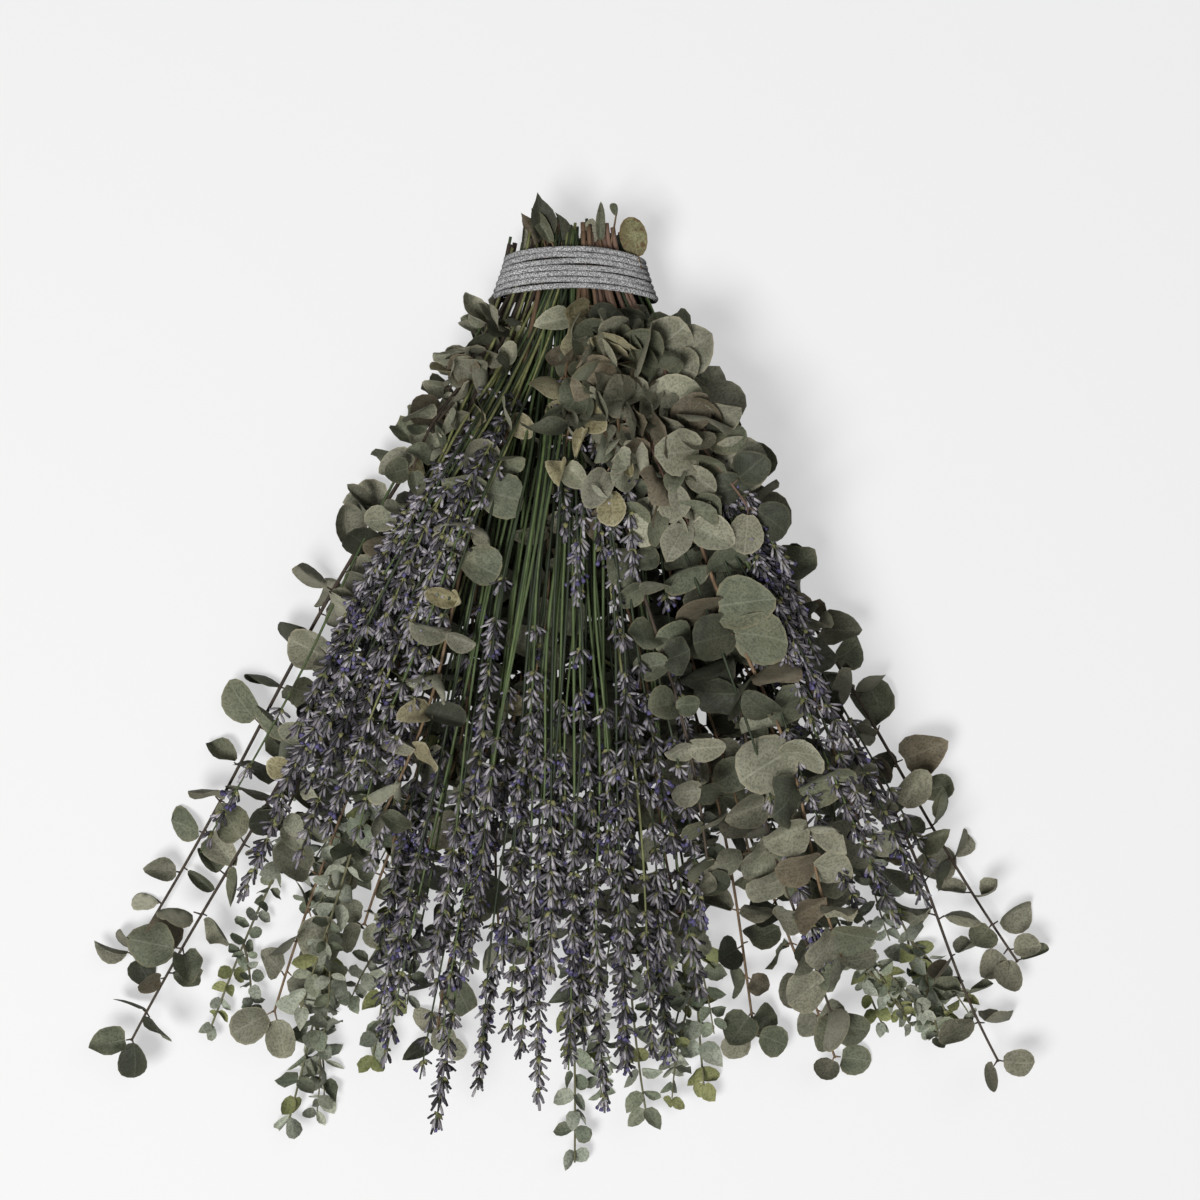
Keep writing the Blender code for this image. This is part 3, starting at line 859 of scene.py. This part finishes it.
def stem_material(name, base, tip, streak, rough=0.7):
    """A dry stem: it changes along its length, and is streaked with fine fibres."""
    make = Maker(name, rough)
    colour = make.mix(make.value("along"), base, tip)
    fibres = make.noise(900, 2, (1.0, 0.06, 1.0))
    colour = make.mix(make.band(fibres, 0.40, 0.65, 0.0, 0.6), colour, streak)
    colour = make.mix(make.band(make.noise(45, 2), 0.40, 0.68, 0.0, 0.5), colour, streak)
    make.bump(fibres, 0.5, 0.0003)
    roughness = make.band(make.noise(200, 2), 0.3, 0.7, rough - 0.08, rough + 0.1)
    return make.finish(make.toned(colour, 0.72, 0.45), roughness)


def calyx_material(name, base, belly, tip, rib_highlight):
    """A dry flower: pale green at its foot, dull violet-grey further out, with pale stripes on every other
    side that are partly its ribs' own colour and partly a painted highlight.
    """
    make = Maker(name, 0.85, 0.2)
    along = make.value("along")
    colour = make.mix(make.band(along, 0.0, 0.35), base, belly)
    colour = make.mix(make.band(along, 0.70, 1.0), colour, tip)
    patchy = make.band(make.noise(600, 2), 0.3, 0.6, 0.3, 0.9)
    # Pale stripe on every other side, in patches: the ribs' colour and a painted highlight.
    colour = make.mix(make.maths("MULTIPLY", make.value("across"), patchy), colour, rib_highlight)
    make.bump(make.noise(1500, 2), 0.6, 0.0004)
    roughness = make.band(make.noise(400, 2), 0.3, 0.7, 0.78, 0.94)
    return make.finish(make.toned(colour, 0.59, 0.82), roughness)


def cord_material(name):
    """Grey cotton: pale and dark fibres twisted into plies, with a little fuzz."""
    make = Maker(name, 0.92, 0.15)
    fleck = make.noise(1300, 3)
    colour = make.mix(make.band(fleck, 0.38, 0.62), (104, 104, 105), (214, 214, 213))
    fibres = make.noise(2600, 2, (0.35, 1.0, 0.35))
    colour = make.mix(make.band(fibres, 0.50, 0.70, 0.0, 0.50), colour, (78, 78, 80))
    colour = make.mix(make.band(make.noise(60, 2), 0.35, 0.65, 0.0, 0.35), colour, (134, 134, 134))
    make.bump(make.maths("ADD", fleck, fibres), 0.8, 0.0004)
    return make.finish(colour, make.band(fleck, 0.3, 0.7, 0.86, 0.98))


TWIG = stem_material("twig", (108, 84, 64), (134, 112, 84), (80, 64, 50))
PINK_TWIG = stem_material("pink_twig", (116, 92, 78), (104, 84, 70), (80, 62, 52))
DARK_TWIG = stem_material("dark_twig", (66, 54, 45), (74, 64, 52), (46, 39, 34))
GREEN_TWIG = stem_material("green_twig", (98, 92, 68), (112, 112, 82), (78, 74, 54))

# Each sort of leaf: its face, dark patches, edge and underside, and how spotted and worn it is.
SILVER_LOOKS = (
    ("grey_olive", (130, 129, 112), (106, 106, 89), (144, 138, 116), (148, 147, 131)),
    ("olive", (101, 105, 86), (78, 83, 66), (118, 113, 90), (124, 127, 109)),
    ("pale", (146, 146, 126), (126, 126, 106), (162, 157, 134), (160, 160, 143), 0, 0.8),
    ("tan", (146, 139, 106), (124, 117, 86), (170, 162, 134), (158, 154, 128), 0.30, 0.9),
    # The dark leaf is a real darker tone, made darker still so that it also serves as painted shade.
    ("dark", (60, 63, 50), (42, 45, 34), (76, 73, 58), (82, 85, 70)),
    ("brown", (104, 97, 81), (84, 78, 62), (118, 106, 86), (122, 117, 100), 0.25),
    ("spotted", (128, 127, 92), (92, 84, 56), (112, 88, 52), (132, 130, 98), 0.90),
)
BABY_LOOKS = (
    ("glaucous", (160, 165, 150), (136, 143, 126), (160, 158, 136), (170, 174, 161)),
    ("grey_green", (134, 141, 121), (110, 119, 99), (138, 136, 112), (146, 152, 134)),
    ("yellow_green", (136, 140, 94), (114, 120, 74), (144, 140, 96), (144, 148, 108)),
    ("dark", (86, 95, 76), (70, 79, 62), (98, 96, 74), (108, 116, 96)),
)
SILVER_LEAVES = [leaf_material(f"leaf_{name}", *look) for name, *look in SILVER_LOOKS]
BABY_LEAVES = [leaf_material(f"small_leaf_{name}", *look) for name, *look in BABY_LOOKS]
# A flower's or bract's last colour is its pale stripe, partly its ribs' colour and partly a painted
# highlight.
LAVENDER_MATERIALS = [
    stem_material("lavender_stem_green", (84, 99, 60), (92, 106, 66), (54, 68, 40), 0.6),
    calyx_material("calyx_light", (142, 142, 112), (153, 149, 151), (134, 128, 143), (188, 184, 185)),
    calyx_material("calyx_middle", (110, 110, 86), (108, 104, 108), (90, 84, 102), (148, 144, 147)),
    calyx_material("calyx_dark", (62, 62, 48), (52, 50, 52), (42, 40, 49), (84, 81, 84)),
    calyx_material("corolla_violet", (84, 79, 106), (78, 73, 110), (64, 59, 94), (98, 93, 126)),
    calyx_material("bract", (120, 122, 82), (112, 112, 76), (98, 88, 62), (138, 138, 98)),
    stem_material("lavender_stem_yellow", (126, 127, 84), (126, 129, 86), (86, 90, 54), 0.6),
    # The dark stem is a stem's darker tone, made darker still as painted shade for stems deep in the bunch.
    stem_material("lavender_stem_dark", (38, 48, 28), (46, 56, 34), (24, 31, 17), 0.6),
]
CORD_MATERIAL = cord_material("cotton")


# ---------------------------------------------------------------- the pieces
def settle(shape, name, materials, slot, *replaced):
    """Makes the piece, lets it ride on the bunch, and hides the CAD parts that it replaces. The slot is not
    used.
    """
    piece = shape.to_object(name, materials)
    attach(piece, "root")
    if replaced:
        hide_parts(*replaced)


def generator(name):
    """The piece's own random numbers, always the same for its name."""
    return np.random.default_rng([ord(letter) for letter in name])


# The leaf materials' slots after the twig's, and how often each is drawn, in that order.
GREY_OLIVE, OLIVE, PALE, TAN, DARK_LEAF, BROWN, SPOTTED = range(1, 8)
OUTER_TONES = (0.44, 0.32, 0.05, 0.00, 0.12, 0.07)
DEEP_TONES = (0.46, 0.20, 0.25, 0.00, 0.05, 0.04)
# Painted shade: nearly all dark leaves, for deep branches near the tie and the low filler under the middle.
PAINTED_SHADE_TONES = (0.00, 0.06, 0.00, 0.00, 0.92, 0.02)
PALE_TONES = (0.16, 0.12, 0.40, 0.25, 0.03, 0.04)
FRONT_TONES = (0.46, 0.27, 0.09, 0.00, 0.06, 0.12)
# Front branches near the tie: a third of their leaves dark, as painted shade.
INNER_FRONT_TONES = (0.06, 0.53, 0.00, 0.00, 0.32, 0.09)
SHORT_TONES = (0.38, 0.16, 0.27, 0.04, 0.03, 0.12)
MIXED_TONES = (0.30, 0.14, 0.38, 0.07, 0.07, 0.04)

# Lean is in degrees off the stem, with how much it varies, and fold and curl are the same in
# radians. Stagger is how far pairs turn up and down, tilt how far they face the tips, and tumble
# how much that varies, in radians. Clasp is how far back across the stem a leaf starts, as a share
# of its length.
SILVER_USUAL = dict(
    stem=0.0014, first=0.030, leaf=0.0280, gap=0.0225, missing=0.02, wave=0.004, clasp=0.0,
    lean=(92, 14), stagger=0.70, tilt=0.0, tumble=0.55, lift=0.0,
    folded=0.10, fold=(0.14, 0.26), curl=(0.12, 0.42),
    tones=OUTER_TONES, inner_tones=OUTER_TONES, twig=DARK_TWIG, grid=LARGE_LEAF,
)
OUTERMOST = dict(
    leaf=0.0256, gap=0.0215, lean=(104, 18), stagger=0.66, tumble=1.20,
    folded=0.35, fold=(0.30, 0.40), curl=(0.30, 0.60),
)
# Near the tie, deep branches' leaves are nearly all dark, as painted shade.
DEEP = dict(
    stem=0.0012, leaf=0.0240, gap=0.0205,
    tones=DEEP_TONES, inner_tones=PAINTED_SHADE_TONES, twig=TWIG, grid=DEEP_LEAF,
)
FRONT = dict(
    first=0.018, gap=0.0205, clasp=0.24, stagger=0.34, tilt=0.50, tumble=0.45, lift=0.10,
    fold=(0.26, 0.28), curl=(0.30, 0.50), tones=FRONT_TONES, inner_tones=INNER_FRONT_TONES,
)
TAN_FRONT = FRONT | dict(
    tumble=0.7, folded=0.40, fold=(0.4, 0.3), curl=(0.5, 0.5),
    tones=PALE_TONES, inner_tones=PALE_TONES, twig=TWIG,
)
SILVER_OWN = {
    "silver_dollar_01": OUTERMOST,
    "silver_dollar_02": DEEP,
    "silver_dollar_03": DEEP | dict(tones=OUTER_TONES),
    "silver_dollar_04": OUTERMOST,
    "silver_dollar_05": OUTERMOST,
    "silver_dollar_06": DEEP | dict(leaf=0.0290),
    "silver_dollar_07": DEEP | dict(tones=OUTER_TONES),
    "silver_dollar_08": OUTERMOST,
    "silver_dollar_09": dict(leaf=0.0220, folded=0.35, tones=MIXED_TONES, inner_tones=SHORT_TONES),
    "silver_dollar_10": TAN_FRONT | dict(leaf=0.0225, gap=0.0195),
    "silver_dollar_11": DEEP | dict(leaf=0.0220),
    "silver_dollar_12": FRONT | dict(leaf=0.0275),
    "silver_dollar_13": DEEP,
    "silver_dollar_14": TAN_FRONT | dict(first=0.085, leaf=0.0220, folded=0.60, curl=(0.8, 0.5)),
    "silver_dollar_15": FRONT | dict(first=0.040, leaf=0.0200),
    "silver_dollar_16": FRONT | dict(leaf=0.0295, twig=TWIG),
}

YELLOW_TIPS = (0.3, 0.2, 0.5, 0.0)
BABY_USUAL = dict(
    first=0.140, leaf=0.0170, shoots=4,
    tones=(0.54, 0.33, 0.06, 0.07), tip_tones=(0.50, 0.22, 0.24, 0.04),
)
BABY_OWN = {
    "baby_blue_01": dict(leaf=0.0120, shoots=2, tip_tones=YELLOW_TIPS),
    "baby_blue_02": dict(leaf=0.0185, shoots=5),
    "baby_blue_04": dict(leaf=0.0180, shoots=7, tip_tones=YELLOW_TIPS),
    "baby_blue_05": dict(shoots=6),
    "baby_blue_06": dict(leaf=0.0180),
    "baby_blue_08": dict(leaf=0.0140, shoots=8, tip_tones=YELLOW_TIPS),
    "baby_blue_09": dict(first=0.060),
}

YELLOW_STEMMED = ["lavender_more_left_front", *(f"lavender_{n:02}" for n in (8, 9, 10, 18, 19))]
# Lavender whose stems are mostly dark, as painted shade.
PAINTED_SHADE_STEMMED = [
    *(f"lavender_more_{place}" for place in ("centre", "right", "right_low")),
    *(f"lavender_{n:02}" for n in (1, 2, 3, 4, 5, 6, 7, 16, 17, 24)),
]
STEMS_OWN = dict.fromkeys(YELLOW_STEMMED, YELLOW_STEMS) | dict.fromkeys(PAINTED_SHADE_STEMMED, PAINTED_SHADE_STEMS)

for node in sorted(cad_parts):
    rng = generator(node)
    if node.startswith("silver_dollar"):
        settings = SILVER_USUAL | SILVER_OWN.get(node, {})
        shape = silver_branch(packed_line(node, LEAFY_STEM_WIDTH, LEAF_OVERHANG), rng, settings)
        materials = [settings["twig"], *SILVER_LEAVES]
        settle(shape, f"{node}_detail", materials, "silver_dollar_eucalyptus", node)
    elif node.startswith("baby_blue"):
        settings = BABY_USUAL | BABY_OWN.get(node, {})
        shape = baby_sprig(packed_line(node, LEAFY_STEM_WIDTH, LEAF_OVERHANG), rng, settings)
        settle(shape, f"{node}_detail", [GREEN_TWIG, *BABY_LEAVES], "baby_blue_eucalyptus", node)
    elif node.startswith("lavender"):
        shape = Shape()
        spaced = node in ("lavender_01", "lavender_07")
        stems = STEMS_OWN.get(node, GREEN_STEMS)
        line = packed_line(node, FLOWER_STEM_WIDTH, SPIKE_OVERHANG)
        lavender_stem(shape, line, rng, rng.uniform(*SPIKE_LENGTH), spaced, stems)
        settle(shape, f"{node}_detail", LAVENDER_MATERIALS, "lavender", node)

cord_shape, cord_length = make_cord()
settle(cord_shape, "tie_cord_detail", [CORD_MATERIAL], "cotton_cord", "tie_cord")

# Stems that the CAD model leaves out. Each group has its tips' angles off -Y in degrees and their
# distances from the tie, its layers at the tie and further out, and where it crosses the waist.
MORE_LAVENDER = {
    "lavender_more_left_front": Group((-29, -18), (0.165, 0.34), (4.4, 5.3), (5.3, 5.9), (-0.42, 0.10), 16),
    "lavender_more_left": Group((-29, -17), (0.20, 0.34), (2.5, 4.5), (4.3, 5.2), (-0.9, -0.3), 12),
    "lavender_more_centre": Group((-15, 12), (0.26, 0.42), (1.5, 4.0), (3.6, 5.2), (-0.5, 0.5), 24),
    "lavender_more_middle": Group((-9, 6), (0.29, 0.47), (3.8, 5.0), (5.0, 5.8), (-0.30, 0.35), 20),
    "lavender_more_short": Group((-3, 11), (0.145, 0.21), (4.2, 5.0), (5.0, 5.6), (-0.1, 0.4), 5),
    "lavender_more_low": Group((-14, -7), (0.39, 0.47), (3.0, 4.5), (3.0, 4.8), (-0.5, 0.0), 6),
    "lavender_more_right": Group((25, 29), (0.18, 0.31), (2.6, 4.0), (4.2, 5.2), (0.70, 0.95), 11),
    "lavender_more_right_low": Group((19, 26), (0.33, 0.41), (2.0, 3.6), (4.8, 5.1), (0.3, 0.7), 4),
}
for name, group in MORE_LAVENDER.items():
    rng = generator(name)
    shape = Shape()
    for line in group_lines(group, rng):
        spaced = rng.random() < (0.8 if name == "lavender_more_low" else 0.08)
        spike = min(rng.uniform(*EXTRA_SPIKE_LENGTH), LONGEST_SPIKE_SHARE * line.length)
        lavender_stem(shape, line, rng, spike, spaced, STEMS_OWN.get(name, GREEN_STEMS))
    settle(shape, name, LAVENDER_MATERIALS, "lavender")

SHORT = dict(
    first=0.025, gap=0.0185, stagger=0.60, tumble=0.85, lift=0.10,
    fold=(0.35, 0.35), curl=(0.55, 0.60),
)
MORE_SILVER = {
    "silver_dollar_more_left": (
        Group((-38, -29), (0.095, 0.180), (4.0, 4.6), (4.3, 4.9), (-0.98, -0.60), 5),
        SHORT | dict(leaf=0.0225, folded=0.3, tones=MIXED_TONES, inner_tones=MIXED_TONES),
    ),
    "silver_dollar_more_centre": (
        Group((-7, 14), (0.080, 0.130), (5.0, 5.3), (5.6, 5.9), (0.08, 0.50), 5),
        SHORT
        | dict(first=0.018, leaf=0.0265, gap=0.0200, lean=(50, 24), folded=0.40)
        | dict(inner_tones=PALE_TONES, twig=TWIG),
    ),
    "silver_dollar_more_right": (
        Group((14, 34), (0.090, 0.165), (4.6, 5.2), (5.3, 5.8), (0.35, 0.90), 9),
        SHORT
        | dict(first=0.027, leaf=0.0300, gap=0.0230, lean=(74, 20), tilt=0.30, tumble=0.42)
        | dict(fold=(0.14, 0.24), curl=(0.20, 0.40), inner_tones=FRONT_TONES, twig=PINK_TWIG),
    ),
    "silver_dollar_more_low": (
        Group((-18, 22), (0.25, 0.39), (0.6, 2.4), (0.3, 2.2), (-0.8, 0.8), 12),
        DEEP | dict(first=0.045),
    ),
    # Low filler branches under the middle, with nearly all dark leaves as painted shade.
    "silver_dollar_more_deep": (
        Group((-9, 10), (0.23, 0.31), (0.4, 2.0), (0.3, 1.8), (-0.5, 0.5), 5),
        DEEP | dict(first=0.060, tones=PAINTED_SHADE_TONES, twig=DARK_TWIG),
    ),
}
for name, (group, own) in MORE_SILVER.items():
    rng = generator(name)
    settings = SILVER_USUAL | own
    whole = Shape()
    for line in group_lines(group, rng):
        whole.join(silver_branch(line, rng, settings))
    settle(whole, name, [settings["twig"], *SILVER_LEAVES], "silver_dollar_eucalyptus")

# Leaves on the short ends above the tie: where one starts, to the right of the tie's middle, above
# it and up from the surface, its heading off +Y in degrees, its length, width, fold and curl, how
# far its point stands out, its stalk's length and its slot.
LEAVES_ABOVE_TIE = (
    ((-0.0285, 0.0100, 0.036), 3, 0.0175, 0.0090, 0.9, 0.2, 0.10, 0.012, GREY_OLIVE),
    ((-0.0215, 0.0130, 0.038), -18, 0.0190, 0.0130, -0.9, 0.9, 0.20, 0.012, BROWN),
    ((-0.0170, 0.0150, 0.043), -10, 0.0225, 0.0210, 0.8, 0.4, 0.22, 0.014, DARK_LEAF),
    ((-0.0125, 0.0130, 0.045), -30, 0.0210, 0.0150, 1.0, -0.5, 0.18, 0.012, OLIVE),
    ((-0.0075, 0.0130, 0.040), 6, 0.0180, 0.0130, -1.0, 0.9, 0.12, 0.012, DARK_LEAF),
    ((0.0060, 0.0130, 0.038), 14, 0.0150, 0.0110, 0.5, 0.4, 0.06, 0.012, GREY_OLIVE),
    ((0.0140, 0.0145, 0.041), 0, 0.0210, 0.0072, 0.8, 0.3, 0.06, 0.012, OLIVE),
    ((0.0225, 0.0285, 0.042), 10, 0.0095, 0.0100, 1.0, 1.3, 0.04, 0.026, OLIVE),
    ((0.0350, 0.0060, 0.039), -14, 0.0230, 0.0155, 0.1, 0.2, 0.00, 0.006, SPOTTED),
)
rng = generator("leaves_above_tie")
shape = Shape()
for (right, above, up), heading, length, width, fold, curl, point, stalk, slot in LEAVES_ABOVE_TIE:
    foot = np.array([right, TIE_Y + above, up])
    along = unit(np.array([math.sin(math.radians(heading)), math.cos(math.radians(heading)), 0.15]))
    stalk_line = [foot - along * stalk, foot - along * stalk / 2, foot + along * 0.0015]
    add_tube(shape, stalk_line, [0.0009, 0.0007, 0.0005], 5, 0)
    look = leaf_look(rng, (fold, 0.05), (curl, 0.1), point, 0.03, 0.0)
    add_leaf(shape, LARGE_LEAF, foot, along, UP + rng.normal(0, 0.25, 3), length, width, slot, look)
settle(shape, "leaves_above_tie", [TWIG, *SILVER_LEAVES], "silver_dollar_eucalyptus")


# ---------------------------------------------------------------- camera, light and floor
VIEW_WIDTH = 0.66
MIDDLE_HEIGHT = 0.045
FOCAL_LENGTH = 70.0
SENSOR_WIDTH = 36.0
VIEW_RIGHT_OF_TIE = 0.01375
VIEW_BELOW_TIE = 0.183
FLOOR_SIZE = 8.0
FLOOR_GAP = 0.0006

camera = bpy.data.cameras.new("camera")
camera.lens = FOCAL_LENGTH
camera.sensor_width = SENSOR_WIDTH
camera_object = bpy.data.objects.new("camera", camera)
bpy.context.scene.collection.objects.link(camera_object)
away = VIEW_WIDTH * FOCAL_LENGTH / SENSOR_WIDTH
camera_object.location = (VIEW_RIGHT_OF_TIE, TIE_Y - VIEW_BELOW_TIE, MIDDLE_HEIGHT + away)
bpy.context.scene.camera = camera_object


def add_lamp(name, place, size, power):
    """A square soft light that faces the middle of the bunch."""
    light = bpy.data.lights.new(name, "AREA")
    light.size = size
    light.energy = power
    lamp = bpy.data.objects.new(name, light)
    lamp.location = place
    lamp.rotation_euler = (-Vector(place)).to_track_quat("-Z", "Y").to_euler()
    bpy.context.scene.collection.objects.link(lamp)


add_lamp("key", (-1.0, -0.9, 2.9), 1.2, 96.0)
add_lamp("fill", (1.3, 1.0, 2.8), 2.0, 16.0)


def whitened(tree, socket, white, plain):
    """What the camera, mirrors and glass see, against what lights the object."""
    path = tree.nodes.new("ShaderNodeLightPath")
    seen = path.outputs["Is Camera Ray"]
    for name in ("Is Glossy Ray", "Is Transmission Ray"):
        both = tree.nodes.new("ShaderNodeMath")
        both.operation = "MAXIMUM"
        tree.links.new(seen, both.inputs[0])
        tree.links.new(path.outputs[name], both.inputs[1])
        seen = both.outputs[0]
    mix = tree.nodes.new("ShaderNodeMix")
    mix.data_type = "RGBA"
    mix.inputs[6].default_value = (plain, plain, plain, 1.0)
    mix.inputs[7].default_value = (white, white, white, 1.0)
    tree.links.new(seen, mix.inputs[0])
    tree.links.new(mix.outputs[2], socket)


world = bpy.data.worlds.new("world")
world.use_nodes = True
bpy.context.scene.world = world
whitened(world.node_tree, world.node_tree.nodes["Background"].inputs["Color"], 0.93, 0.09)

# Part of the floor's white is its own, to the camera only, so that the bunch's shadow stays pale.
floor_material = bpy.data.materials.new("floor")
floor_material.use_nodes = True
floor_shader = floor_material.node_tree.nodes["Principled BSDF"]
floor_shader.inputs["Roughness"].default_value = 0.9
floor_shader.inputs["Specular IOR Level"].default_value = 0.0
floor_shader.inputs["Emission Strength"].default_value = 1.0
whitened(floor_material.node_tree, floor_shader.inputs["Base Color"], 0.38, 0.16)
whitened(floor_material.node_tree, floor_shader.inputs["Emission Color"], 0.51, 0.0)
bpy.ops.mesh.primitive_plane_add(size=FLOOR_SIZE, location=(0.0, 0.0, -FLOOR_GAP))
floor = bpy.context.object
floor.name = "floor"
floor.data.materials.append(floor_material)
floor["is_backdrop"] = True
bpy.context.scene.view_settings.view_transform = "Standard"

shown = [thing for thing in bpy.data.objects if thing.type == "MESH" and not thing.hide_render]
triangles = [sum(len(face.vertices) - 2 for face in thing.data.polygons) for thing in shown]
print("triangles shown:", sum(triangles), "most in one:", max(triangles), "cord:", round(cord_length, 3))

sizes = {"cad": CAD_BOX, "visual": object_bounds()}
sizes = {key: [[float(n) for n in corner] for corner in box] for key, box in sizes.items()}
